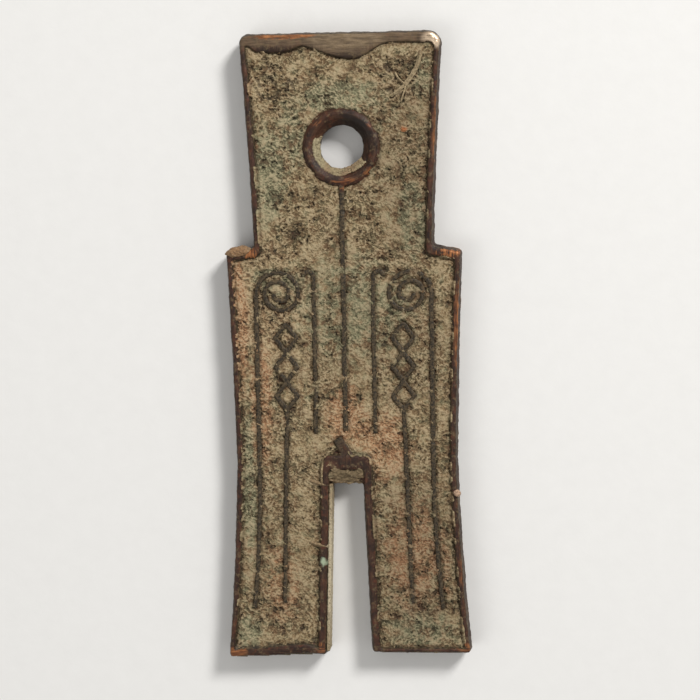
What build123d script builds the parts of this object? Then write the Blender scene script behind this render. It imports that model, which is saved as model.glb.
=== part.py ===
"""A cast bronze spade coin, lying on its back, with the burial crust that has grown on it.

Millimetres. X runs across the coin, +Y points to its head and +Z out of its front face.
The origin is at the middle of the coin's footprint, on the plane that its back rim rests on.
"""

from build123d import *

import os
from math import atan2, cos, degrees, radians, sin

os.makedirs("parts", exist_ok=True)

# Outline at the parting line, where the two halves of the mould met
coin_length = 58.2
head_length = 19.45
head_width = 18.7
head_hollow = 0.1
neck_width = 16.7
shoulder_width = 21.9
shoulder_fall = 0.45
hip_width = 21.24
hip_height = 29.0
waist_width = 20.7
waist_height = 18.4
calf_width = 21.54
calf_height = 9.1
foot_width = 23.0
slot_length = 16.15
crotch_width = 2.9
slot_mouth_width = 4.1
left_foot_flash = 0.5
left_foot_inner_flash = 0.2

# Corner radii of that outline
head_left_corner = 0.85
head_right_corner = 1.2
neck_corner = 0.35
shoulder_corner = 0.45
foot_corner = 0.35
crotch_corner = 0.4
least_corner = 0.22
most_inner_corner = 0.6

# Thickness: the rims stand above the field on both faces, and the walls lean in from the parting line
coin_thickness = 2.6
field_depth = 0.5
draft_run = 0.2
crotch_bevel_start = 0.45
crotch_bevel_run = 1.29
edge_round = 0.16
edge_round_steps = 2

# Rims, measured across their flat crown, and the slope from the crown to the field
side_rim = 0.5
top_rim = 0.85
shoulder_rim = 0.65
foot_rim = 0.35
slot_rim = 0.65
crotch_rim = 1.15
rim_slope = 0.25

# String hole with its collar
hole_below_head = 10.45
throat_radius = 2.02
throat_length = 0.8
front_mouth_radius = 2.8
back_mouth_radius = 2.55
collar_radius = 3.68
collar_slope = 0.24
collar_round = 0.24

# Raised lines: the centre line on both faces, then the front's stub, bars, scrolls and lozenges
line_width = 0.4
line_rise = 0.33
centre_line_gap = 3.4
stub_length = 2.75
stub_lean = 1.7
stub_width = 0.9
bar_offset = 2.75
bar_drop = 1.9
bar_crotch_gap = 3.2
crook_radius = 0.48
scroll_drop = 3.9
scroll_turn_radii = (1.95, 1.55, 1.1, 0.7)
stem_waist_gap = 2.25
stem_foot_side_gap = 2.65
stem_foot_gap = 4.3
lozenge_drop = 6.7
lozenge_length = 2.7
lozenge_width = 2.0
lozenge_count = 3
leg_bar_foot_gap = 4.8

# Burial crust
field_crust_rise = 0.2
hole_crust_thickness = 0.1
hole_crust_start_angle = 150.0
hole_crust_arc = 185.0
bevel_crust_thickness = 0.12
bevel_crust_width = 2.3
slot_crust_thickness = 0.1
slot_crust_height = 1.7
slot_crust_crotch_gap = 1.0
slot_crust_foot_gap = 0.9
shoulder_lump_length = 2.6
shoulder_lump_height = 0.9
edge_bead_diameter = 0.7
edge_bead_height = 15.25

# Places worked out from the sizes above
top_y = coin_length / 2
foot_y = left_foot_flash - coin_length / 2
neck_y = top_y - head_length
shoulder_y = neck_y - shoulder_fall
hip_y = foot_y + hip_height
waist_y = foot_y + waist_height
calf_y = foot_y + calf_height
crotch_y = foot_y + slot_length
hole_y = top_y - hole_below_head
parting_z = coin_thickness / 2
field_z = coin_thickness - field_depth
throat_top_z = parting_z + throat_length / 2
throat_bottom_z = parting_z - throat_length / 2
bevel_top_y = crotch_y + draft_run + crotch_bevel_run
bevel_bottom_z = parting_z + crotch_bevel_start
slot_wall_slope = (slot_mouth_width - crotch_width) / 2 / slot_length
front_crotch_inset = crotch_bevel_run + crotch_rim
edge_turns = [step * 90 / edge_round_steps for step in range(edge_round_steps + 1)]


def spade_outline(height, side, top, shoulder, foot, slot, crotch):
    """Draws the spade at one height, with each edge set in from the parting line by its own inset."""
    corners = []
    with BuildSketch(Plane.XY.offset(height)) as outline:
        with BuildLine():
            for hand, outer_flash, inner_flash, head_corner in (
                (1, 0.0, 0.0, head_right_corner),
                (-1, left_foot_flash, left_foot_inner_flash, head_left_corner),
            ):
                head = (hand * (head_width / 2 - side), top_y - top)
                temple_x = (head_width + neck_width) / 4 - head_hollow - side
                temple = (hand * temple_x, (top_y + neck_y) / 2)
                neck = (hand * (neck_width / 2 - side), neck_y - shoulder)
                shoulder_end = (hand * (shoulder_width / 2 - side), shoulder_y - shoulder)
                hip = (hand * (hip_width / 2 - side), hip_y)
                waist = (hand * (waist_width / 2 - side), waist_y)
                calf = (hand * (calf_width / 2 - side), calf_y)
                foot_outer = (hand * (foot_width / 2 - side), foot_y - outer_flash + foot)
                foot_inner = (hand * (slot_mouth_width / 2 + slot), foot_y - inner_flash + foot)
                crotch_end = (hand * (crotch_width / 2 + slot), crotch_y + crotch)
                Line((0, top_y - top), head)
                ThreePointArc(head, temple, neck)
                Line(neck, shoulder_end)
                ThreePointArc(shoulder_end, hip, waist)
                ThreePointArc(waist, calf, foot_outer)
                Line(foot_outer, foot_inner)
                Line(foot_inner, crotch_end)
                Line(crotch_end, (0, crotch_y + crotch))
                corners += [
                    (head, max(head_corner - side, least_corner)),
                    (neck, min(neck_corner + side, most_inner_corner)),
                    (shoulder_end, max(shoulder_corner - side, least_corner)),
                    (foot_outer, max(foot_corner - side, least_corner)),
                    (foot_inner, max(foot_corner - slot, least_corner)),
                    (crotch_end, min(crotch_corner + slot, most_inner_corner)),
                ]
        make_face()
        for point, radius in corners:
            fillet(outline.vertices().sort_by_distance(point)[0], radius)
    return outline.sketch


def walls_at(height, extra=0.0):
    """Draws the coin's outer walls at one height, where they lean in from the parting line."""
    lean = draft_run * abs(1 - height / parting_z) + extra
    return spade_outline(height, lean, lean, lean, lean, lean, lean)


def field_at(height, extra, crotch_inset):
    """Draws the sunk field at one height, inside the rims, extra further in than the rims' crowns."""
    inset = draft_run + extra
    return spade_outline(
        height,
        inset + side_rim,
        inset + top_rim,
        inset + shoulder_rim,
        inset + foot_rim,
        inset + slot_rim,
        inset + crotch_inset,
    )


def round_in(turn):
    """How far in from the wall a rounded edge lies, once it has turned through an angle."""
    return edge_round * (1 - cos(radians(turn)))


def round_down(turn):
    """How far below the crown a rounded edge lies, once it has turned through an angle."""
    return edge_round * (1 - sin(radians(turn)))


# The casting: plate, rims, collar and raised lines, all poured as one piece of bronze
with BuildPart() as casting:
    back_walls = [walls_at(round_down(turn), round_in(turn)) for turn in reversed(edge_turns)]
    front_walls = [walls_at(coin_thickness - round_down(turn), round_in(turn)) for turn in edge_turns]
    loft([*back_walls, walls_at(parting_z), *front_walls], ruled=True)

    # The field is sunk inside the rims on the front and on the back
    front_field = [
        field_at(coin_thickness - round_down(turn), -round_in(turn), front_crotch_inset)
        for turn in reversed(edge_turns)
    ]
    loft([*front_field, field_at(field_z, rim_slope, front_crotch_inset)], ruled=True, mode=Mode.SUBTRACT)
    back_field = [field_at(round_down(turn), -round_in(turn), slot_rim) for turn in reversed(edge_turns)]
    loft([*back_field, field_at(field_depth, rim_slope, slot_rim)], ruled=True, mode=Mode.SUBTRACT)

    # The crotch of the slot slopes down from the front
    with BuildSketch(Plane.YZ) as crotch_bevel:
        with BuildLine():
            Polyline(
                (crotch_y - draft_run, bevel_bottom_z),
                (crotch_y, bevel_bottom_z),
                (bevel_top_y, coin_thickness),
                (crotch_y - draft_run, coin_thickness),
                close=True,
            )
        make_face()
    extrude(amount=crotch_width / 2 + draft_run, both=True, mode=Mode.SUBTRACT)

    # The string hole: a collar stands round it on both faces, and it flares out from a straight throat
    with Locations((0, hole_y, parting_z)):
        Cylinder(collar_radius - collar_slope, coin_thickness, mode=Mode.SUBTRACT)
    with BuildSketch(Plane.XZ.offset(-hole_y)) as collar_profile:
        with BuildLine():
            Polyline(
                (throat_radius, throat_bottom_z),
                (back_mouth_radius, 0),
                (collar_radius - collar_slope, 0),
                (collar_radius, field_depth),
                (collar_radius, field_z),
                (collar_radius - collar_slope, coin_thickness),
                (front_mouth_radius, coin_thickness),
                (throat_radius, throat_top_z),
                close=True,
            )
        make_face()
        crown_corners = collar_profile.vertices().group_by(Axis.Y)
        chamfer([*crown_corners[0], *crown_corners[-1]], collar_round)
    revolve(axis=Axis((0, hole_y, 0), (0, 0, 1)))

    # A line runs down the middle of each face from the collar. On the back it ends at the crotch rim.
    # On the front it stops short of it, and a stub leans up from the rim towards its end
    line_top_y = hole_y - collar_radius + collar_slope
    front_line_end_y = bevel_top_y + centre_line_gap
    with BuildSketch(Plane.XY.offset(field_z)) as front_line:
        with Locations((0, (line_top_y + front_line_end_y) / 2)):
            Rectangle(line_width, line_top_y - front_line_end_y)
        with BuildLine():
            Line((stub_lean / 2, bevel_top_y), (-stub_lean / 2, bevel_top_y + stub_length))
        trace(line_width=stub_width)
    extrude(amount=line_rise)
    back_line_end_y = crotch_y + draft_run + edge_round
    with BuildSketch(Plane.XY.offset(field_depth)) as back_line:
        with Locations((0, (line_top_y + back_line_end_y) / 2)):
            Rectangle(line_width, line_top_y - back_line_end_y)
    extrude(amount=-line_rise)

    # Scrolls on stems, bars and strings of lozenges stand on the front field, alike on both sides
    scroll_y = shoulder_y - scroll_drop
    stem_x = waist_width / 2 - stem_waist_gap
    stem_foot = (foot_width / 2 - stem_foot_side_gap, foot_y + stem_foot_gap)
    crook_x = bar_offset + crook_radius
    crook_y = shoulder_y - bar_drop - crook_radius
    lozenge_x = (bar_offset + stem_x) / 2
    lozenge_top_y = shoulder_y - lozenge_drop
    lozenge_bottom_y = lozenge_top_y - lozenge_count * lozenge_length
    leg_bar_foot_x = (slot_mouth_width / 2 + draft_run + slot_rim + rim_slope + stem_foot[0]) / 2
    with BuildSketch(Plane.XY.offset(field_z)) as ornament:
        with BuildLine():
            TangentArc((stem_x, waist_y), stem_foot, tangent=(0, -1))
            Line((stem_x, waist_y), (stem_x, scroll_y))
            turn_x = stem_x
            side = 1
            for radius in scroll_turn_radii:
                next_x = turn_x - 2 * side * radius
                crest = ((turn_x + next_x) / 2, scroll_y + side * radius)
                ThreePointArc((turn_x, scroll_y), crest, (next_x, scroll_y))
                turn_x = next_x
                side = -side
        trace(line_width=line_width)
        with BuildLine():
            Line((bar_offset, bevel_top_y + bar_crotch_gap), (bar_offset, crook_y))
            ThreePointArc(
                (bar_offset, crook_y),
                (crook_x, crook_y + crook_radius),
                (crook_x + crook_radius, crook_y),
            )
        trace(line_width=line_width)
        for side in (1, -1):
            zigzag = [(lozenge_x, lozenge_top_y)]
            for count in range(lozenge_count):
                top_of_one = lozenge_top_y - count * lozenge_length
                zigzag += [
                    (lozenge_x + side * lozenge_width / 2, top_of_one - lozenge_length / 2),
                    (lozenge_x, top_of_one - lozenge_length),
                ]
            with BuildLine():
                Polyline(*zigzag)
            trace(line_width=line_width)
        with BuildLine():
            Line((lozenge_x, lozenge_bottom_y), (leg_bar_foot_x, foot_y + leg_bar_foot_gap))
        trace(line_width=line_width)
        mirror(about=Plane.YZ)
    extrude(amount=line_rise)

casting.part.label = "bronze_casting"
export_step(casting.part, "parts/bronze_casting.step")

# Crust over the front field, filling it round the raised lines
with BuildPart() as front_crust:
    extrude(field_at(field_z, 0, front_crotch_inset), amount=field_crust_rise)
    with Locations((0, hole_y, field_z + field_crust_rise / 2)):
        Cylinder(collar_radius, field_crust_rise, mode=Mode.SUBTRACT)
    add(casting.part, mode=Mode.SUBTRACT)

front_crust.part.label = "front_field_crust"
export_step(front_crust.part, "parts/front_field_crust.step")

# Crust over the back field
with BuildPart() as back_crust:
    extrude(field_at(field_depth - field_crust_rise, 0, slot_rim), amount=field_crust_rise)
    with Locations((0, hole_y, field_depth - field_crust_rise / 2)):
        Cylinder(collar_radius, field_crust_rise, mode=Mode.SUBTRACT)
    add(casting.part, mode=Mode.SUBTRACT)

back_crust.part.label = "back_field_crust"
export_step(back_crust.part, "parts/back_field_crust.step")

# Crust on the flare of the string hole, from its left side round to its lower right
with BuildPart() as hole_crust:
    with BuildSketch(Plane.XZ.offset(-hole_y)) as lining_profile:
        with BuildLine():
            Polyline(
                (throat_radius, throat_top_z),
                (throat_radius + collar_round, throat_top_z),
                (front_mouth_radius + collar_round, coin_thickness),
                (front_mouth_radius - hole_crust_thickness, coin_thickness),
                (throat_radius, throat_top_z + hole_crust_thickness),
                close=True,
            )
        make_face()
        hole_axis = Axis((0, hole_y, 0), (0, 0, 1))
        lining_start = lining_profile.sketch.rotate(hole_axis, hole_crust_start_angle)
    revolve(lining_start, axis=hole_axis, revolution_arc=hole_crust_arc)
    add(casting.part, mode=Mode.SUBTRACT)
    split(bisect_by=Plane.XY.offset(coin_thickness - collar_round), keep=Keep.BOTTOM)

hole_crust.part.label = "string_hole_crust"
export_step(hole_crust.part, "parts/string_hole_crust.step")

# Crust on the sloping crotch
with BuildPart() as bevel_crust:
    with BuildSketch(Plane.YZ) as bevel_profile:
        with BuildLine():
            Polyline(
                (crotch_y, bevel_bottom_z),
                (bevel_top_y, coin_thickness),
                (bevel_top_y - 2 * bevel_crust_thickness, coin_thickness),
                (crotch_y, bevel_bottom_z + bevel_crust_thickness),
                close=True,
            )
        make_face()
    extrude(amount=bevel_crust_width / 2, both=True)
    add(casting.part, mode=Mode.SUBTRACT)

bevel_crust.part.label = "crotch_crust"
export_step(bevel_crust.part, "parts/crotch_crust.step")

# Crust on the left leg's wall of the slot
with BuildPart() as leg_wall_crust:
    with BuildSketch(Plane.XY.offset(parting_z - slot_crust_height / 2)) as strip:
        with BuildLine():
            upper_y = crotch_y - slot_crust_crotch_gap
            lower_y = foot_y + slot_crust_foot_gap
            upper_x = -crotch_width / 2 - slot_wall_slope * slot_crust_crotch_gap
            lower_x = -slot_mouth_width / 2 + slot_wall_slope * slot_crust_foot_gap
            Polyline(
                (upper_x + slot_crust_thickness, upper_y),
                (upper_x - draft_run, upper_y),
                (lower_x - draft_run, lower_y),
                (lower_x + slot_crust_thickness, lower_y),
                close=True,
            )
        make_face()
    extrude(amount=slot_crust_height)
    add(casting.part, mode=Mode.SUBTRACT)

leg_wall_crust.part.label = "left_leg_wall_crust"
export_step(leg_wall_crust.part, "parts/left_leg_wall_crust.step")

# Lump of crust on the left shoulder's rim
with BuildPart() as shoulder_lump:
    lump_x = -(neck_width + shoulder_width) / 4
    lump_y = (neck_y + shoulder_y) / 2 - draft_run
    lump_tilt = degrees(atan2(shoulder_fall, (shoulder_width - neck_width) / 2))
    lump_plane = Plane((lump_x, lump_y, coin_thickness - edge_round)).rotated((0, 0, lump_tilt))
    with BuildSketch(lump_plane) as lump_profile:
        with BuildLine():
            lump_base = Line((-shoulder_lump_length / 2, 0), (shoulder_lump_length / 2, 0))
            Polyline(
                lump_base @ 0,
                (-shoulder_lump_length / 4, shoulder_lump_height / 2),
                (shoulder_lump_length / 4, shoulder_lump_height / 2),
                lump_base @ 1,
            )
        make_face()
    revolve(axis=Axis(lump_plane.origin, lump_plane.x_dir))
    add(casting.part, mode=Mode.SUBTRACT)

shoulder_lump.part.label = "left_shoulder_crust"
export_step(shoulder_lump.part, "parts/left_shoulder_crust.step")

# Bead of crust on the right leg's front edge
with BuildPart() as edge_bead:
    bead_plane = Plane.XZ.offset(-foot_y - edge_bead_height)
    front_edge = walls_at(coin_thickness).face().outer_wire()
    bead_seat = front_edge.intersect(bead_plane).sort_by(Axis.X)[-1]
    with Locations(bead_seat.center()):
        Sphere(edge_bead_diameter / 2)
    add(casting.part, mode=Mode.SUBTRACT)

edge_bead.part.label = "right_edge_bead"
export_step(edge_bead.part, "parts/right_edge_bead.step")
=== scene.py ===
"""Looks of a cast bronze spade coin with its burial crust, lying on a pale floor.

Metres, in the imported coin's frame: X runs across, +Y points to the head and +Z out of the front face.
Shapes are worked out in millimetres and brought to metres when each piece is finished.
"""

from math import cos, radians, sin

import bmesh
import bpy
from mathutils import Matrix, Vector


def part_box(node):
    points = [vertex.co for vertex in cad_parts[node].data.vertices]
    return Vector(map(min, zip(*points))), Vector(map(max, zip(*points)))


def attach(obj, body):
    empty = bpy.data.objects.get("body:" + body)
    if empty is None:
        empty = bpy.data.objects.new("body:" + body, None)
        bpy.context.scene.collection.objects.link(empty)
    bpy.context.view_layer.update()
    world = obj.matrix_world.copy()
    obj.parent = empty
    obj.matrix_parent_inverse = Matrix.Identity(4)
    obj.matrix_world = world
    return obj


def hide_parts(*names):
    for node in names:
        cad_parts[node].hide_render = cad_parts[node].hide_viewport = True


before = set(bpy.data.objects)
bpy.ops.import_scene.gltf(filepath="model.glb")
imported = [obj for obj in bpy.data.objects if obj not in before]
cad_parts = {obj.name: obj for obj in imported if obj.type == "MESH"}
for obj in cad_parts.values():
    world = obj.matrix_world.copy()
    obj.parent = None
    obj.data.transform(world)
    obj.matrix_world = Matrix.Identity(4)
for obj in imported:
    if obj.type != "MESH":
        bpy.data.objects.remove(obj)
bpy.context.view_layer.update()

# The coin: one casting in bronze, with plate, rims, collar and raised lines poured together in a two-part
# mould. Its skin is dark brown and grainy from the mould, rubbed to copper where fingers and string wore it.
MM = 0.001
coin_low, coin_high = (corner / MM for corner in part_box("bronze_casting"))
thickness = coin_high.z
middle = thickness / 2
field_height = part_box("front_field_crust")[0].z / MM
plate_half = field_height - middle
line_rise = 0.33
line_half = plate_half + line_rise
hole_y = 18.65
collar_edge = 4.0


class Wire:
    """A socket in a node tree. Arithmetic on it adds Math nodes, and node() adds any other kind."""

    def __init__(self, tree, socket=None):
        self.tree = tree
        self.socket = socket

    def node(self, kind, settings, values, out=0):
        """Adds a node: its settings, then the values or wires of its sockets. Gives the outputs named."""
        node = self.tree.nodes.new(kind)
        for name, value in settings.items():
            setattr(node, name, value)
        for name, value in values.items():
            if isinstance(value, Wire):
                self.tree.links.new(value.socket, node.inputs[name])
            else:
                node.inputs[name].default_value = value
        if isinstance(out, tuple):
            return [Wire(self.tree, node.outputs[name]) for name in out]
        return Wire(self.tree, node.outputs[out])

    def math(self, operation, *values):
        return self.node("ShaderNodeMath", {"operation": operation}, dict(enumerate(values)))

    def __add__(self, other):
        return self.math("ADD", self, other)

    def __sub__(self, other):
        return self.math("SUBTRACT", self, other)

    def __rsub__(self, other):
        return self.math("SUBTRACT", other, self)

    def __mul__(self, other):
        return self.math("MULTIPLY", self, other)

    def __truediv__(self, other):
        return self.math("DIVIDE", self, other)

    def __rtruediv__(self, other):
        return self.math("DIVIDE", other, self)

    def __abs__(self):
        return self.math("ABSOLUTE", self)

    __radd__ = __add__
    __rmul__ = __mul__


def fade(value, start, end, low=0.0, high=1.0):
    """Turns smoothly from low to high as a value passes from start to end."""
    values = {"Value": value, "From Min": start, "From Max": end, "To Min": low, "To Max": high}
    return value.node("ShaderNodeMapRange", {"interpolation_type": "SMOOTHSTEP"}, values)


def between(value, start, full, full_end, end):
    """1 while a value lies from full to full_end, and 0 outside start and end."""
    return fade(value, start, full) * fade(value, end, full_end)


def noise(place, scale, detail=2.0, roughness=0.5, out="Fac"):
    """Cloudy noise with a scale in lumps to the millimetre. Its middle value is a half."""
    values = {"Vector": place, "Scale": scale, "Detail": detail, "Roughness": roughness}
    return place.node("ShaderNodeTexNoise", {}, values, out)


def vector(operation, *values, out=0):
    """Adds a Vector Math node. The last value of a SCALE is its number."""
    names = (0, "Scale") if operation == "SCALE" else range(len(values))
    return values[0].node("ShaderNodeVectorMath", {"operation": operation}, dict(zip(names, values)), out)


def axes(place):
    """The X, Y and Z of a place."""
    return place.node("ShaderNodeSeparateXYZ", {}, {0: place}, ("X", "Y", "Z"))


def joined_axes(across, along, height):
    """A place from its X, Y and Z, of which one at least is a wire."""
    wires = [part for part in (across, along, height) if isinstance(part, Wire)]
    return wires[0].node("ShaderNodeCombineXYZ", {}, {"X": across, "Y": along, "Z": height})


def drift(place, scale, reach):
    """Moves a place to and fro by up to about half the reach, so that patterns on it wander."""
    sway = vector("SUBTRACT", noise(place, scale, out="Color"), (0.5, 0.5, 0.5))
    return vector("ADD", place, vector("SCALE", sway, reach))


def spot(place, across, along, half_width, half_length):
    """A soft oval patch on the coin, 1 in its middle and 0 outside it."""
    away = vector("SUBTRACT", place, (across, along, 0.0))
    away = vector("MULTIPLY", away, (1 / half_width, 1 / half_length, 0.0))
    return fade(vector("LENGTH", away, out="Value"), 1.0, 0.3)


def spots(place, patches):
    """The sum of several soft oval patches, each given as a strength and a spot's numbers."""
    total = 0.0
    for strength, *numbers in patches:
        total = spot(place, *numbers) * strength + total
    return total


def geometry_tree(name, sizes):
    """Starts a geometry tree with named inputs, and gives a wire for each."""
    tree = bpy.data.node_groups.new(name, "GeometryNodeTree")
    tree.interface.new_socket("Geometry", in_out="OUTPUT", socket_type="NodeSocketGeometry")
    for label, kind in {"Geometry": "Geometry", "Material": "Material", **sizes}.items():
        tree.interface.new_socket(label, in_out="INPUT", socket_type="NodeSocket" + kind)
    inputs = tree.nodes.new("NodeGroupInput")
    return tree, {socket.name: Wire(tree, socket) for socket in inputs.outputs if socket.name}


def end_tree(geometry, material):
    """Ends a geometry tree: real meshes for instances, and the material on every face."""
    whole = geometry.node("GeometryNodeRealizeInstances", {}, {"Geometry": geometry})
    done = whole.node("GeometryNodeSetMaterial", {}, {"Geometry": whole, "Material": material})
    done.tree.links.new(done.socket, done.tree.nodes.new("NodeGroupOutput").inputs["Geometry"])


def copy_of(node):
    """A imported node's mesh in millimetres, with its loose triangles merged."""
    copy = bmesh.new()
    copy.from_mesh(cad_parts[node].data)
    copy.transform(Matrix.Scale(1 / MM, 4))
    bmesh.ops.remove_doubles(copy, verts=copy.verts, dist=0.001)
    mesh = bpy.data.meshes.new(node + "_copy")
    copy.to_mesh(mesh)
    copy.free()
    return mesh


def helper(name, mesh):
    """An object for a geometry tree to read. It is taken away before the end."""
    made = bpy.data.objects.new(name, mesh)
    bpy.context.scene.collection.objects.link(made)
    return made


def form(name, mesh, tree, values, voxel=0.0, kept=1.0):
    """Runs a geometry tree over a mesh in millimetres, and gives the plain result as a piece in metres.

    A voxel size remeshes it first, and a kept share below 1 thins it out afterwards.
    """
    piece = helper(name, mesh)
    if voxel:
        skin = piece.modifiers.new("skin", "REMESH")
        skin.mode = "VOXEL"
        skin.voxel_size = voxel
    shape = piece.modifiers.new("shape", "NODES")
    shape.node_group = tree
    for socket in tree.interface.items_tree:
        if socket.in_out == "INPUT" and socket.name in values:
            shape[socket.identifier] = values[socket.name]
    if kept < 1:
        thin = piece.modifiers.new("thin", "DECIMATE")
        thin.ratio = kept
    result = piece.evaluated_get(bpy.context.evaluated_depsgraph_get())
    piece.data = bpy.data.meshes.new_from_object(result)
    piece.modifiers.clear()
    piece.data.transform(Matrix.Scale(MM, 4))
    piece.data.shade_smooth()
    piece.data.set_sharp_from_angle(angle=radians(70))
    return piece


def hand_in(piece, node):
    """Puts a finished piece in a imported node's stead."""
    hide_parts(node)
    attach(piece, "root")


def paint(red, green, blue):
    """A colour as it looks on screen, from 0 to 255, in the linear numbers that a shader takes."""
    parts = [part / 255 for part in (red, green, blue)]
    return (*[((part + 0.055) / 1.055) ** 2.4 if part > 0.04 else part / 12.92 for part in parts], 1.0)


def tint(amount, first, second):
    """Mixes two colours."""
    return amount.node("ShaderNodeMix", {"data_type": "RGBA"}, {0: amount, 6: first, 7: second}, 2)


def material(name, values_of):
    """A material whose surface takes its values from values_of, given its place in millimetres."""
    made = bpy.data.materials.new(name)
    made.use_nodes = True
    start = Wire(made.node_tree)
    place = vector("SCALE", start.node("ShaderNodeTexCoord", {}, {}, "Object"), 1 / MM)
    surface = made.node_tree.nodes["Principled BSDF"]
    for socket, value in values_of(place).items():
        if isinstance(value, Wire):
            made.node_tree.links.new(value.socket, surface.inputs[socket])
        else:
            surface.inputs[socket].default_value = value
    return made


def bump(height, distance):
    """Bumps of a height from 0 to 1, with a distance in millimetres."""
    return height.node("ShaderNodeBump", {}, {"Height": height, "Distance": distance * MM}, "Normal")


def casting_tree():
    sizes = {name: "Float" for name in ("Sway", "Grain", "Line wear", "Sag")}
    tree, given = geometry_tree("worn casting", sizes)
    place = given["Geometry"].node("GeometryNodeInputPosition", {}, {})
    normal = place.node("GeometryNodeInputNormal", {}, {})
    across, along, height = axes(place)
    facing = axes(normal)[2]
    from_middle = abs(height - middle)

    # Lines stand lower where the crust has closed over them
    on_lines = between(from_middle, plate_half + 0.1, plate_half + 0.25, line_half + 0.03, line_half + 0.09)
    worn_down = on_lines * fade(noise(place, 0.5), 0.58, 0.7) * given["Line wear"] * -1

    # The skin's grain, left off the plate under the crust, and a slow and a quick sway of the edges
    off_plate = fade(abs(from_middle - plate_half), 0.04, 0.1)
    bare = off_plate.math("MAXIMUM", off_plate, fade(abs(facing), 0.8, 0.5))
    grain = (noise(place, 0.9) - 0.5) * 0.5 + (noise(place, 2.6, 3.0, 0.6) - 0.5) * 0.5
    swell = vector("SCALE", normal, grain * given["Grain"] * bare)
    slow_sway = vector("SUBTRACT", noise(place, 0.5, out="Color"), (0.5, 0.5, 0.5))
    quick_sway = vector("SUBTRACT", noise(place, 1.7, out="Color"), (0.5, 0.5, 0.5))
    sway = vector("ADD", slow_sway, vector("SCALE", quick_sway, 0.8))
    sway = vector("MULTIPLY", sway, (1.0, 1.0, 0.0))

    # The top rim's inner edge sags down the front in two waves, and the left foot's rim is broad
    left_wave = between(across, -8.7, -7.4, -5.2, -3.0) * 0.5
    right_wave = between(across, -4.4, 0.9, 1.3, 4.6)
    top_sag = (left_wave + right_wave) * between(along, 24.2, 27.2, 28.05, 28.75)
    foot_sag = between(across, -11.2, -10.4, -4.0, -2.6) * between(along, -28.8, -28.3, -27.8, -25.5)
    on_front = fade(height, middle, field_height)
    sag = (foot_sag * 0.42 - top_sag) * on_front * given["Sag"]
    shift = vector("ADD", swell, vector("SCALE", sway, given["Sway"]))
    shift = vector("ADD", shift, joined_axes(0.0, sag, worn_down))
    moved = place.node("GeometryNodeSetPosition", {}, {"Geometry": given["Geometry"], "Offset": shift})

    # Wear: how far each point stands out of its surroundings, where 0.05 mm counts as 1
    around = place.node(
        "GeometryNodeBlurAttribute",
        {"data_type": "FLOAT_VECTOR"},
        {"Value": place, "Iterations": 10},
    )
    stands_out = vector("DOT_PRODUCT", normal, vector("SUBTRACT", place, around), out="Value")
    marked = place.node(
        "GeometryNodeStoreNamedAttribute",
        {"data_type": "FLOAT", "domain": "POINT"},
        {"Geometry": moved, "Name": "wear", "Value": stands_out / 0.05},
    )
    end_tree(marked, given["Material"])
    return tree


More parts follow.
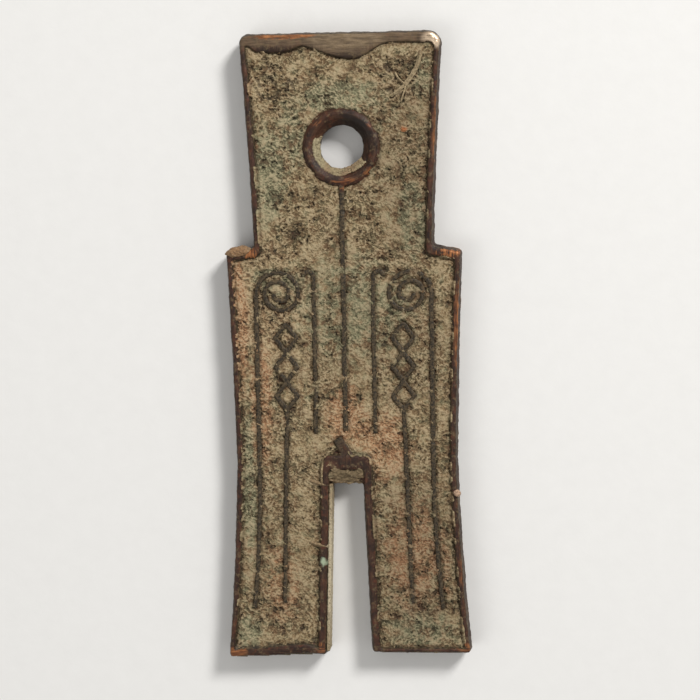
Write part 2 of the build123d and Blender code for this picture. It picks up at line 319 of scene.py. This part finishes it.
def bronze_values(place):
    across, along, height = axes(place)
    from_middle = abs(height - middle)
    wear = place.node("ShaderNodeAttribute", {"attribute_name": "wear"}, {}, "Fac")

    # Scratches run along each edge, and round the hole
    lengthwise = noise(vector("MULTIPLY", place, (7.0, 0.8, 4.0)), 1.0, 3.0, 0.6)
    crosswise = noise(vector("MULTIPLY", place, (0.8, 7.0, 4.0)), 1.0, 3.0, 0.6)
    from_hole = vector("MULTIPLY", vector("SUBTRACT", place, (0.0, hole_y, 0.0)), (1.0, 1.0, 0.0))
    radius = vector("LENGTH", from_hole, out="Value")
    angle = along.math("ARCTAN2", along - hole_y, across)
    roundwise = noise(joined_axes(radius * 6.0, angle * 2.0, height * 4.0), 1.0, 3.0, 0.6)
    at_ends = fade(abs(along), 27.6, 28.1) + spot(place, 0.6, 27.2, 3.4, 1.4)
    at_ends = at_ends.math("MINIMUM", at_ends, 1.0)
    scratches = lengthwise + (crosswise - lengthwise) * at_ends
    scratches = scratches + (roundwise - scratches) * fade(radius, collar_edge + 0.2, collar_edge - 0.1)

    # Copper shows on the crests, most of all at the right edge, the corners and the collar's lower side.
    # Each place has its strength, its X and Y, and its half width and half length
    clouds = noise(place, 0.8, 3.0, 0.6)
    fine = noise(place, 5.0, 3.0, 0.65)
    rubbed = spots(
        place,
        (
            (1.0, 0.2, 15.3, 2.4, 1.0),
            (0.9, 2.6, 16.3, 1.2, 1.2),
            (0.7, -2.3, 21.2, 1.6, 1.2),
            (0.7, 2.7, 20.9, 1.1, 1.0),
            (0.9, 9.0, 18.5, 1.2, 9.0),
            (0.9, 10.7, 2.0, 1.1, 8.5),
            (0.7, 11.0, -20.0, 1.3, 8.0),
            (1.2, 9.6, 9.0, 1.9, 0.8),
            (1.2, -8.5, 8.8, 0.9, 1.2),
            (1.0, -10.6, -28.4, 1.8, 1.0),
            (0.9, 10.8, -28.0, 1.5, 0.9),
            (0.8, -2.7, -28.0, 1.0, 1.0),
            (1.1, -5.0, 28.75, 5.0, 0.5),
            (0.4, -10.8, -6.0, 0.8, 16.0),
            (0.4, -8.6, 14.0, 0.8, 12.0),
        ),
    )
    crest = fade(wear + (scratches - 0.5) * 2.4, 0.1, 0.9)
    copper = fade(rubbed * (0.2 + crest * 0.8) + (clouds - 0.5) * 0.9, 0.45, 1.1) * 0.85
    # A painted highlight, near white, on the front of the top right corner where it stands out most
    painted_glint = spot(place, 8.5, 28.2, 1.3, 1.0) * fade(wear + scratches, 0.6, 1.0) * fade(height, 1.9, 2.4)

    # Under it the skin is dark brown with reddish clouds and worn streaks
    skin = tint(fade(clouds, 0.35, 0.65), paint(36, 22, 14), paint(64, 38, 25))
    reddish = fade(noise(place, 1.5, 3.0, 0.6), 0.52, 0.66)
    skin = tint(reddish * 0.6, skin, paint(88, 48, 30))
    skin = tint(fade(scratches, 0.46, 0.72) * 0.4, skin, paint(96, 66, 42))

    # A painted grey sheen lies on the top rim and its bulge, and the lines are darker
    bulge = spot(place, 0.6, 28.0, 4.6, 2.0)
    painted_sheen_places = (fade(along, 27.4, 28.2) * 0.7 + bulge) * fade(height, middle, thickness - 0.2)
    painted_sheen_grey = tint(fade(scratches, 0.3, 0.7), paint(88, 72, 54), paint(132, 112, 86))
    skin = tint(painted_sheen_places * 0.75, skin, painted_sheen_grey)
    on_line = between(from_middle, plate_half + 0.1, plate_half + 0.2, line_half + 0.04, line_half + 0.1)
    line_skin = tint(fade(fine, 0.4, 0.62), paint(38, 31, 20), paint(78, 65, 46))
    beside_stub = spot(place, 0.0, -9.7, 1.6, 1.8)
    on_line = on_line * fade(radius, collar_edge, collar_edge + 0.2) * (1 - beside_stub * 0.7)
    skin = tint(on_line, skin, line_skin)

    # Shadow under the top rim's bulge, dust in the hollows, and one fleck of pale green
    under_bulge = spot(place, 0.6, 26.6, 2.6, 0.9) + spot(place, -6.2, 27.4, 2.6, 0.7) * 0.8
    skin = tint(under_bulge * fade(height, middle, field_height) * 0.8, skin, paint(40, 27, 17))
    dust = fade(noise(place, 2.2, 4.0, 0.7), 0.53, 0.66) * (1 - copper)
    skin = tint(dust * 0.6, skin, paint(106, 88, 62))
    skin = tint(spot(drift(place, 1.6, 1.2), -2.3, -19.9, 0.6, 0.5), skin, paint(156, 168, 140))

    # Painted shade makes the hole's upper right and the walls the darkest, and the walls have patches of
    # crust
    upright = axes(place.node("ShaderNodeNewGeometry", {}, {}, "Normal"))[2]
    shaded_flare = spot(place, 1.5, 20.3, 2.4, 2.2) * fade(radius, 3.3, 3.0)
    skin = tint(shaded_flare * 0.85, skin, paint(24, 16, 10))
    # Painted shade on the walls that face sideways
    walls = fade(abs(upright), 0.75, 0.4) * (1 - on_line)
    skin = tint(walls * 0.6, skin, paint(40, 27, 17))
    wall_crust = fade(noise(place, 0.7, 4.0, 0.68), 0.52, 0.64)
    skin = tint(wall_crust * walls * 0.55, skin, paint(98, 84, 60))
    metal = tint(fade(scratches, 0.4, 0.65), paint(112, 68, 42), paint(176, 116, 70))
    colour = tint(copper, skin, metal)
    # The painted highlight on the top right corner
    colour = tint(painted_glint, colour, paint(226, 200, 170))
    relief = scratches * 0.5 + fine * 0.5
    shine = copper * 0.5 + painted_glint
    shine = shine.math("MINIMUM", 1.0, shine)
    return {
        "Base Color": colour,
        "Metallic": shine * 0.8,
        "Specular IOR Level": 0.3,
        "Roughness": fade(shine + scratches * 0.3, 0.0, 1.0, 0.58, 0.36),
        "Normal": bump(relief, 0.07),
    }


bronze = material("worn_bronze", bronze_values)
sizes = {"Material": bronze, "Sway": 0.16, "Grain": 0.2, "Line wear": 0.12, "Sag": 1.35}
coin = form("bronze_coin", copy_of("bronze_casting"), casting_tree(), sizes, voxel=0.1, kept=0.3)
hand_in(coin, "bronze_casting")


# Crust that fills both fields: minerals from the soil and the bronze, grown together into one rough sheet on
# each face. It lies on the plate, runs up to the lines and thins out against the rims.
crust_rise = 0.27
crust_top = middle + plate_half + crust_rise
half_width = coin_high.x


def strokes(place, angle, scale, stretch=3.0):
    """Noise drawn out into strokes that lie at an angle to X, in the plane of the coin."""
    turn = {"Vector": place, "Angle": -radians(angle)}
    turned = place.node("ShaderNodeVectorRotate", {"rotation_type": "Z_AXIS"}, turn)
    return noise(vector("MULTIPLY", turned, (1 / stretch, 1.0, 1.0)), scale, 2.0, 0.6)


def crust_pattern(flat):
    """The crust's flakes, pits and blotches, from 0 to 1. The place's Z only tells the two faces apart."""
    wander = drift(flat, 0.9, 0.6)
    leans = fade(noise(flat, 0.5), 0.44, 0.56)
    rising = strokes(wander, 40, 3.9, 1.6)
    falling = strokes(wander, -25, 3.9, 1.6)
    grit = noise(flat, 5.0, 2.0, 0.6)
    blotches = noise(wander, 0.6, 4.0, 0.62)
    blotch = blotches - 0.5
    rough = spots(
        flat,
        (
            (1.0, -6.0, 24.5, 3.2, 3.6),
            (1.0, 5.6, 25.0, 3.2, 3.4),
            (0.5, 6.0, 15.0, 2.4, 6.0),
            (0.4, -5.0, 12.0, 3.0, 5.0),
            (0.3, -6.0, 4.0, 4.0, 4.0),
            (0.6, 7.5, -24.0, 4.5, 4.5),
            (0.5, -7.0, -25.0, 4.0, 3.0),
        ),
    )
    calm = fade(noise(flat, 0.3, 2.0) - rough * 0.12 + spot(flat, 0.0, 0.0, 4.5, 12.0) * 0.1, 0.46, 0.6)
    flakes = (rising + (falling - rising) * leans - 0.5) * 0.6 + (grit - 0.5) * 0.4
    flakes = flakes * (1 - calm * 0.4) + blotch * (0.3 + rough * 0.12) + calm * 0.015
    hollows = noise(wander, 1.7, 3.0, 0.7) + blotch * 0.4 - rough * 0.07
    pits = fade(hollows, 0.42, 0.32) * (1 - calm * 0.8)
    wide_pits = fade(noise(wander, 1.0, 2.0, 0.6), 0.43, 0.36) * fade(rough, 0.3, 0.8) * 0.8
    return fade(flakes, -0.115, 0.1), pits.math("MAXIMUM", pits, wide_pits), blotches


def join(*shapes):
    """Joins shapes in the order given."""
    together = shapes[0].node("GeometryNodeJoinGeometry", {}, {})
    for shape in reversed(shapes):
        shape.tree.links.new(shape.socket, together.socket.node.inputs["Geometry"])
    return together


def above(value, limit):
    """True where a value is over its limit."""
    settings = {"data_type": "FLOAT", "operation": "GREATER_THAN"}
    return value.node("FunctionNodeCompare", settings, {0: value, 1: limit})


def crust_tree():
    names = ("Left", "Right", "Spacing", "Bottom", "Top", "Hand", "Reach", "Relief")
    sizes = {name: "Float" for name in names}
    tree, given = geometry_tree("field crust", {**sizes, "Footprint": "Object", "Casting": "Object"})
    hand = given["Hand"]
    low_y = coin_low.y
    length = coin_high.y - coin_low.y
    width = given["Right"] - given["Left"]
    counts = {
        "Size X": width,
        "Size Y": length,
        "Vertices X": width / given["Spacing"] + 1,
        "Vertices Y": length / given["Spacing"] + 1,
    }
    sheet = hand.node("GeometryNodeMeshGrid", {}, counts)
    centre = joined_axes((given["Left"] + given["Right"]) / 2, low_y + length / 2, given["Bottom"])
    sheet = hand.node("GeometryNodeSetPosition", {}, {"Geometry": sheet, "Offset": centre})
    place = hand.node("GeometryNodeInputPosition", {}, {})
    across, along, height = axes(place)

    def distance_to(target, level):
        """How far each point, held at a level off the coin's middle, is from a helper object."""
        values = {
            "Geometry": hand.node("GeometryNodeObjectInfo", {}, {"Object": given[target]}, "Geometry"),
            "Sample Position": joined_axes(across * hand, along, hand * level + middle),
        }
        return hand.node("GeometryNodeProximity", {"target_element": "FACES"}, values, "Distance")

    away = distance_to("Footprint", plate_half + 0.2)
    near = distance_to("Casting", line_half - 0.01)
    near_rim = distance_to("Casting", middle - 0.02)
    sheet = hand.node(
        "GeometryNodeDeleteGeometry",
        {"domain": "POINT"},
        {"Geometry": sheet, "Selection": above(away, given["Reach"])},
    )

    # The sheet becomes a closed slab
    rise = given["Top"] - given["Bottom"]
    raised = hand.node(
        "GeometryNodeExtrudeMesh",
        {"mode": "FACES"},
        {"Mesh": sheet, "Offset": joined_axes(0.0, 0.0, rise), "Offset Scale": 1.0, "Individual": False},
    )
    under = hand.node("GeometryNodeFlipFaces", {}, {"Mesh": sheet})
    slab = join(raised, under)
    slab = hand.node("GeometryNodeMergeByDistance", {}, {"Geometry": slab, "Distance": 0.001})

    # Flakes, lumps and pits on its top. It dips beside the lines and rims, but creeps over them in places
    flat = joined_axes(across * hand, along, hand * 20 + 20)
    flakes, pits, blotches = crust_pattern(flat)
    lumps = noise(flat, 0.5, 2.0) - 0.5
    creep = fade(noise(flat, 1.4, 3.0, 0.6), 0.54, 0.68)
    dip = fade(near, 0.26, 0.02) * (0.1 - creep * 0.26)
    relief = ((flakes - 0.5) * 0.45 + lumps * 0.8 + (blotches - 0.5) * 1.2 - pits * 0.7) * given["Relief"]
    sunk = fade(away, 0.2, 0.34) * 0.1

    # On the front it laps over the rims in places, except at the head end and the feet
    on_front = hand * 0.5 + 0.5
    lap_places = on_front * fade(noise(flat, 0.6, 3.0, 0.6), 0.47, 0.56)
    lap_places = lap_places * fade(away + noise(flat, 2.0) * 0.2, 0.46, 0.3)
    laps = lap_places * fade(near_rim, 0.16, 0.04) * between(along, -27.9, -27.3, 25.8, 26.4) * 0.4
    on_top = above(height, given["Bottom"] + rise / 2)
    lift = joined_axes(0.0, 0.0, relief * fade(away, 0.5, 0.3) - sunk - dip + laps)
    moves = {"Geometry": slab, "Selection": on_top, "Offset": lift}
    grown = hand.node("GeometryNodeSetPosition", {}, moves)
    # Edge darkens the crust beside the lines and rims: partly thin crust, partly painted shade at their
    # foot, and none where the crust laps over
    edge = fade(near, 0.4, 0.05) * (1 - creep * 0.6) - laps * 2.0
    grown = hand.node(
        "GeometryNodeStoreNamedAttribute",
        {"data_type": "FLOAT", "domain": "POINT"},
        {"Geometry": grown, "Name": "edge", "Value": edge},
    )

    # The back's slab is turned over about the coin's length
    turned = joined_axes(across * hand, along, height * hand + (1 - hand) * middle)
    grown = hand.node("GeometryNodeSetPosition", {}, {"Geometry": grown, "Position": turned})
    end_tree(grown, given["Material"])
    return tree


def crust_values(place):
    across, along, height = axes(place)
    front = fade(height, middle - 0.1, middle + 0.1)
    flat = joined_axes(across, along, front * 40)
    flakes, pits, blotches = crust_pattern(flat)
    fine = noise(place, 9.0, 2.0, 0.6)
    small_patches = noise(flat, 1.3, 3.0, 0.6)
    patches = noise(flat, 0.35, 3.0, 0.6)
    mottle = (small_patches - 0.5) * 1.6

    # Each place has its strength, its X and Y, and its half width and half length
    pink_places = spots(
        flat,
        (
            (1.6, -10.1, 2.5, 1.6, 9.0),
            (1.0, 0.0, -6.0, 2.6, 4.0),
            (0.8, -7.8, -5.0, 1.6, 9.0),
            (0.9, 6.0, -19.0, 3.5, 7.0),
            (0.6, -6.2, -22.0, 2.4, 6.0),
            (0.9, 3.6, -9.0, 3.6, 4.5),
            (0.6, 8.8, -21.0, 1.2, 5.0),
            (0.5, -8.4, 24.0, 0.8, 2.0),
            (0.5, -8.0, 18.6, 0.8, 1.2),
        ),
    )
    green_places = spots(
        flat,
        (
            (0.8, -6.8, 16.0, 2.0, 6.0),
            (0.7, 0.0, 23.0, 5.0, 2.4),
            (0.4, -4.5, 20.0, 2.0, 5.0),
            (0.5, 7.4, 25.0, 1.2, 3.0),
            (0.7, -9.1, -12.5, 0.9, 9.5),
            (0.6, -9.6, -26.5, 2.0, 2.2),
            (0.5, 7.0, -26.5, 4.5, 2.4),
            (0.5, 6.5, 12.0, 2.0, 5.0),
            (0.4, -6.0, 6.5, 3.5, 2.0),
            (0.4, 1.0, 4.0, 8.0, 7.0),
        ),
    )
    shade = spots(
        flat,
        (
            (0.25, 6.5, 17.0, 6.0, 14.0),
            (0.3, 6.5, -20.0, 7.5, 14.0),
            (0.12, -6.5, -20.0, 6.5, 12.0),
            (0.15, 6.5, 0.0, 6.0, 9.0),
            (0.12, 0.0, 3.0, 5.0, 12.0),
            (0.3, 0.0, -10.4, 2.6, 1.3),
        ),
    )
    # Tan ground with ochre, grey-green and pink patches
    tan = tint(fade(small_patches, 0.4, 0.6), paint(128, 109, 77), paint(150, 130, 95))
    tan = tint(fade(patches, 0.42, 0.6) * 0.4, tan, paint(146, 118, 80))
    tan = tint(spot(flat, -7.0, 4.0, 4.5, 8.0) * 0.45, tan, paint(178, 150, 112))
    greens = fade(green_places + patches + mottle, 0.5, 1.1) * 0.85
    tan = tint(greens, tan, paint(130, 129, 98))
    pinks = fade(pink_places - patches - mottle, -0.5, 0.5) * 0.54
    tan = tint(pinks, tan, paint(184, 126, 86))

    # Flakes are lighter on top and darker between, partly the crust's own tone and partly painted light and
    # shade on its relief. Beside the lines and rims the crust is darker, partly thin crust and partly
    # painted shade at their foot
    edge = place.node("ShaderNodeAttribute", {"attribute_name": "edge"}, {}, "Fac")
    # Painted light on the flake tops and painted shade between them, over the crust's own tone
    light = tint(fade(flakes, 0.5, 1.0) * 0.5, tan, paint(192, 172, 136))
    dark = tint(fade(small_patches, 0.42, 0.58), paint(78, 54, 33), paint(64, 57, 36))
    colour = tint(fade(flakes, 0.55, 0.0) * 0.7, light, dark)
    colour = tint(fade(blotches, 0.46, 0.34) * 0.2, colour, dark)
    colour = tint(pits * 0.8, colour, paint(50, 38, 24))
    # The shade patches, and the edge darkening, which is partly painted shade
    colour = tint(shade + edge * 0.5, colour, dark)
    copper_fleck = spot(drift(flat, 3.0, 0.3), 5.75, 20.2, 0.42, 0.3)
    colour = tint(copper_fleck, colour, paint(172, 108, 64))
    return {
        "Base Color": tint(fade(fine, 0.5, 0.3) * 0.28, colour, dark),
        "Roughness": fade(flakes, 0.0, 1.0, 0.9, 0.76),
        "Normal": bump(flakes * 0.6 - pits * 0.4 + fine * 0.35, 0.14),
    }


crust = material("field_crust", crust_values)
crust_shape = crust_tree()
casting_guide = helper("casting_guide", coin.data.copy())
casting_guide.data.transform(Matrix.Scale(1 / MM, 4))
for face, hand, spacing in (("front", 1.0, 0.08), ("back", -1.0, 0.1)):
    footprint = helper("footprint", copy_of(face + "_field_crust"))
    for side, left, right in (("left", -half_width, 0.0), ("right", 0.0, half_width)):
        sizes = {
            "Material": crust,
            "Footprint": footprint,
            "Casting": casting_guide,
            "Left": left,
            "Right": right,
            "Spacing": spacing,
            "Bottom": field_height - 0.15,
            "Top": crust_top,
            "Hand": hand,
            "Reach": 0.6,
            "Relief": 0.22,
        }
        piece = form(f"{face}_crust_{side}", bpy.data.meshes.new("crust"), crust_shape, sizes, kept=0.55)
        hand_in(piece, face + "_field_crust")
    bpy.data.objects.remove(footprint)
bpy.data.objects.remove(casting_guide)


# Pale crust in the string hole, on the crotch and on the left leg's wall, with the lump on the left shoulder
# and the bead on the right leg's edge: soil lime and wax-like minerals, set hard on the bronze.
def lump_tree():
    sizes = {name: "Float" for name in ("Relief", "Swell", "Sink", "Ends", "Choke")}
    vectors = {name: "Vector" for name in ("Centre", "Half", "Stretch", "Shift", "Down")}
    tree, given = geometry_tree("rough lump", {**sizes, **vectors})
    place = given["Geometry"].node("GeometryNodeInputPosition", {}, {})
    normal = place.node("GeometryNodeInputNormal", {}, {})
    coarse = noise(place, 1.6, 2.0) - 0.5
    fine = noise(place, 5.0, 3.0, 0.6) - 0.5

    # The rim of a patch sinks into the bronze, so that its outline wanders
    from_centre = vector("SUBTRACT", place, given["Centre"])
    share = vector("LENGTH", vector("DIVIDE", from_centre, given["Half"]), out="Value")
    sink = fade(share + coarse * 3.5, 0.5, 1.2) * given["Sink"]
    rise = (coarse + fine) * given["Relief"] + given["Swell"]
    swell = vector("ADD", vector("SCALE", normal, rise), vector("SCALE", given["Down"], sink))

    # The lining of the hole closes in at its lower right, and its ends run out into the bronze
    ends = spot(place, -2.6, hole_y + 1.9, 1.5, 1.5) + spot(place, 2.6, hole_y - 0.7, 1.1, 1.1)
    ends = (ends + coarse * ends * 2.0) * given["Ends"]
    choke = spot(place, 0.9, hole_y - 1.9, 1.3, 1.3) * given["Choke"]
    push = ends * 0.4 - choke
    outwards = vector("MULTIPLY", vector("SUBTRACT", place, (0.0, hole_y, 0.0)), (1.0, 1.0, 0.0))
    offset = vector("ADD", swell, vector("SCALE", vector("NORMALIZE", outwards), push))
    offset = vector("SUBTRACT", offset, joined_axes(0.0, 0.0, ends))
    stretched = vector("ADD", vector("MULTIPLY", from_centre, given["Stretch"]), given["Shift"])
    offset = vector("ADD", offset, stretched)
    moved = place.node("GeometryNodeSetPosition", {}, {"Geometry": given["Geometry"], "Offset": offset})
    end_tree(moved, given["Material"])
    return tree


def pale_values(place):
    grit = noise(drift(place, 2.0, 0.4), 5.0, 4.0, 0.6)
    patches = noise(place, 0.8, 2.0)
    pale = tint(fade(patches, 0.4, 0.6), paint(146, 130, 98), paint(142, 118, 88))
    pale = tint(spot(place, -1.8, -20.5, 1.2, 9.0), pale, paint(186, 172, 142))
    pale = tint(spot(place, -2.2, hole_y - 0.3, 1.2, 2.6), pale, paint(152, 140, 108))
    pale = tint(spot(place, -9.7, 9.3, 1.8, 1.2), pale, paint(140, 106, 72))
    pale = tint(spot(place, 10.3, -13.3, 0.9, 0.9), pale, paint(176, 144, 118))
    pale = tint(spot(place, 0.2, -11.2, 2.4, 1.8), pale, paint(106, 89, 61))
    bridges = spot(place, -2.7, -12.4, 1.2, 0.6) + spot(place, -2.7, -18.3, 1.2, 0.6)
    pale = tint(bridges, pale, paint(128, 106, 76))
    pale = tint(spot(place, 6.1, 24.6, 2.0, 3.4), pale, paint(168, 148, 114))
    colour = tint(fade(grit, 0.52, 0.36) * 0.6, pale, paint(80, 64, 44))
    return {
        "Base Color": tint(fade(grit, 0.55, 0.7) * 0.4, colour, paint(190, 172, 144)),
        "Roughness": fade(grit, 0.3, 0.7, 0.72, 0.9),
        "Normal": bump(grit, 0.1),
    }


pale = material("pale_crust", pale_values)
lump_shape = lump_tree()
for node, voxel, relief, swell, sink, stretch, shift in (
    ("string_hole_crust", 0.04, 0.22, 0.06, 0.0, (0.0, 0.0, 0.0), (0.0, 0.0, 0.0)),
    ("crotch_crust", 0.04, 0.3, 0.12, 0.34, (0.7, 0.3, 0.1), (-0.36, 0.08, 0.08)),
    ("left_leg_wall_crust", 0.05, 0.08, 0.05, 0.0, (0.0, 0.11, 0.2), (0.03, 0.1, 0.1)),
    ("left_shoulder_crust", 0.04, 0.16, 0.03, 0.0, (0.0, 0.0, 0.0), (0.0, 0.0, 0.0)),
    ("right_edge_bead", 0.04, 0.15, 0.0, 0.0, (0.0, 0.0, 0.0), (0.0, 0.0, 0.0)),
):
    low, high = (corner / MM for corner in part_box(node))
    lining = node == "string_hole_crust"
    sizes = {
        "Material": pale,
        "Relief": relief,
        "Swell": swell,
        "Sink": sink,
        "Ends": 0.45 if lining else 0.0,
        "Choke": 0.12 if lining else 0.0,
        "Centre": (low + high) / 2,
        "Half": (high - low) / 2,
        "Stretch": stretch,
        "Shift": shift,
        "Down": (0.0, 0.5, -0.87),
    }
    piece = form(node + "_grown", copy_of(node), lump_shape, sizes, voxel=voxel)
    hand_in(piece, node)


# Crumbs, fibres and strands of the same crust: crumbs broken off by the spade, and mineral hairs that grew
# across the lines and the field.
def scatter_tree(name, make_shape):
    """Scatters small shapes over the top of a crust's footprint, thicker in some places."""
    names = ("Density", "Lift", "Hand")
    tree, given = geometry_tree(name, {name: "Float" for name in names})
    ground = given["Geometry"]
    place = ground.node("GeometryNodeInputPosition", {}, {})
    facing = axes(ground.node("GeometryNodeInputNormal", {}, {}))[2] * given["Hand"]
    along = axes(place)[1]
    off_rims = between(along, -28.3, -27.9, 26.9, 27.3)
    crowded = fade(noise(place, 0.35, 3.0, 0.6), 0.4, 0.65) + spot(place, 6.0, 18.0, 3.5, 9.0)
    scattering = {
        "Mesh": ground,
        "Selection": above(facing * off_rims, 0.9),
        "Density": given["Density"] * (0.15 + crowded),
        "Seed": 4,
    }
    points = ground.node("GeometryNodeDistributePointsOnFaces", {}, scattering, "Points")
    heading = (noise(place, 0.25, 1.0) - 0.5) * 6.0
    spread = {"Min": (-0.2, -0.2, -0.9), "Max": (0.2, 0.2, 0.9)}
    tilt = ground.node("FunctionNodeRandomValue", {"data_type": "FLOAT_VECTOR"}, spread, "Value")
    span = {"Min": (0.5, 0.5, 0.4), "Max": (1.5, 1.3, 1.0), "Seed": 7}
    big = ground.node("FunctionNodeRandomValue", {"data_type": "FLOAT_VECTOR"}, span, "Value")
    shapes = ground.node(
        "GeometryNodeInstanceOnPoints",
        {},
        {
            "Points": points,
            "Instance": make_shape(ground),
            "Rotation": vector("ADD", tilt, joined_axes(0.0, 0.0, heading)),
            "Scale": big,
        },
    )
    lift = joined_axes(0.0, 0.0, given["Lift"] * given["Hand"])
    moves = {"Instances": shapes, "Translation": lift, "Local Space": False}
    shapes = ground.node("GeometryNodeTranslateInstances", {}, moves)
    end_tree(shapes, given["Material"])
    return tree


def hair(start, bend, end, radius, steps, wire):
    """A thin closed tube along a bent line."""
    path = {"Resolution": steps, "Start": start, "Middle": bend, "End": end}
    line = wire.node("GeometryNodeCurveQuadraticBezier", {}, path)
    ring = wire.node("GeometryNodeCurvePrimitiveCircle", {}, {"Resolution": 4, "Radius": radius}, "Curve")
    sweep = {"Curve": line, "Profile Curve": ring, "Fill Caps": True}
    return wire.node("GeometryNodeCurveToMesh", {}, sweep)


def one_fibre(wire):
    return hair((-0.38, 0.0, -0.06), (0.0, 0.2, 0.1), (0.38, 0.02, -0.06), 0.032, 4, wire)


def one_crumb(wire):
    return wire.node("GeometryNodeMeshIcoSphere", {}, {"Radius": 0.11, "Subdivisions": 1}, "Mesh")


kinds = (
    ("crumbs", scatter_tree("crumbs", one_crumb), 2.4, 0.06),
    ("fibres", scatter_tree("fibres", one_fibre), 0.8, 0.1),
)
back_sink = 0.14
for face, hand, sink in (("front", 1.0, 0.0), ("back", -1.0, back_sink)):
    for kind, tree, density, lift in kinds:
        sizes = {"Material": crust, "Density": density, "Lift": lift - sink, "Hand": hand}
        piece = form(f"{face}_crust_{kind}", copy_of(face + "_field_crust"), tree, sizes)
        hand_in(piece, face + "_field_crust")


def strand_tree():
    """A forked strand at the upper right and two bridges over the left rim of the slot."""
    tree, given = geometry_tree("strands", {})
    start = given["Geometry"]
    top = crust_top + 0.06

    # Each has its start, its bend, its end, its radius and its number of steps
    strands = [
        hair(*line, start)
        for line in (
            ((7.4, 27.2, top), (7.1, 25.4, top + 0.12), (5.9, 24.2, top + 0.02), 0.2, 12),
            ((6.1, 24.35, top + 0.02), (5.6, 23.9, top + 0.08), (4.6, 23.2, top - 0.04), 0.14, 10),
            ((5.95, 24.25, top + 0.02), (5.4, 24.6, top + 0.06), (5.0, 25.3, top - 0.04), 0.09, 8),
            ((6.0, 24.2, top), (5.8, 23.3, top + 0.05), (5.5, 22.7, top - 0.05), 0.07, 8),
            ((-3.5, -12.1, top - 0.12), (-2.6, -12.5, 2.6), (-1.75, -12.6, 2.4), 0.2, 8),
            ((-3.5, -18.0, top - 0.12), (-2.6, -18.3, 2.6), (-1.85, -18.4, 2.4), 0.2, 8),
        )
    ]
    place = start.node("GeometryNodeInputPosition", {}, {})
    sway = vector("SCALE", vector("SUBTRACT", noise(place, 1.6, out="Color"), (0.5, 0.5, 0.5)), 0.2)
    swayed = start.node("GeometryNodeSetPosition", {}, {"Geometry": join(*strands), "Offset": sway})
    end_tree(swayed, given["Material"])
    return tree


strands = form("front_crust_strands", bpy.data.meshes.new("strands"), strand_tree(), {"Material": pale})
hand_in(strands, "front_field_crust")


# The floor is a pale sheet of card, plain and matt.
def floor_values(place):
    fibres = noise(place, 0.6, 4.0, 0.6)
    return {
        "Base Color": tint(fibres, paint(226, 224, 220), paint(232, 230, 226)),
        "Roughness": 0.9,
        "Normal": bump(fibres, 0.02),
    }


floor_mesh = bpy.data.meshes.new("floor")
half_floor = 2.0
corners = [(x * half_floor, y * half_floor, 0.0) for x, y in ((-1, -1), (1, -1), (1, 1), (-1, 1))]
floor_mesh.from_pydata(corners, [], [(0, 1, 2, 3)])
floor = bpy.data.objects.new("floor", floor_mesh)
bpy.context.scene.collection.objects.link(floor)
floor_mesh.materials.append(material("pale_card", floor_values))

# Light: a soft lamp from the upper right, as in the photograph, a weak one from the left, and an even room.
look_at = Vector((0.42, -0.09, thickness / 2)) * MM


def lamp(name, azimuth, elevation, distance, size, power):
    """A square soft lamp that faces the coin. Azimuth 0 stands at the foot end and 90 to the right."""
    light = bpy.data.lights.new(name, "AREA")
    light.size = size
    light.energy = power
    holder = bpy.data.objects.new(name, light)
    bpy.context.scene.collection.objects.link(holder)
    turn, tilt = radians(azimuth), radians(elevation)
    away = Vector((sin(turn) * cos(tilt), -cos(turn) * cos(tilt), sin(tilt)))
    holder.location = look_at + away * distance
    holder.rotation_euler = away.to_track_quat("Z", "Y").to_euler()


lamp("key_lamp", azimuth=140, elevation=38, distance=0.5, size=0.12, power=2.3)
lamp("fill_lamp", azimuth=-60, elevation=50, distance=0.5, size=0.3, power=0.5)
room = bpy.data.worlds.new("room")
room.use_nodes = True
room.node_tree.nodes["Background"].inputs["Color"].default_value = (1.0, 1.0, 1.0, 1.0)
room.node_tree.nodes["Background"].inputs["Strength"].default_value = 0.4
bpy.context.scene.world = room
bpy.context.scene.view_settings.view_transform = "Standard"

# Camera: a long lens above the coin, a little to its right and towards its head.
photo_width_mm = 65.0
lens_mm = 100.0
sensor_mm = 36.0
right_tilt = radians(5)
head_tilt = radians(6)
roll = radians(0.97)
camera = bpy.data.objects.new("camera", bpy.data.cameras.new("camera"))
bpy.context.scene.collection.objects.link(camera)
bpy.context.scene.camera = camera
camera.data.lens = lens_mm
camera.data.sensor_width = sensor_mm
back = Vector((sin(right_tilt), sin(head_tilt), 1.0)).normalized()
camera.location = look_at + back * (photo_width_mm * MM * lens_mm / sensor_mm)
rightwards = Vector((0, 1, 0)).cross(back).normalized()
upwards = back.cross(rightwards)
upright = Matrix((rightwards, upwards, back)).transposed()
camera.rotation_euler = (upright @ Matrix.Rotation(-roll, 3, "Z")).to_euler()
camera.data.clip_start = 0.01
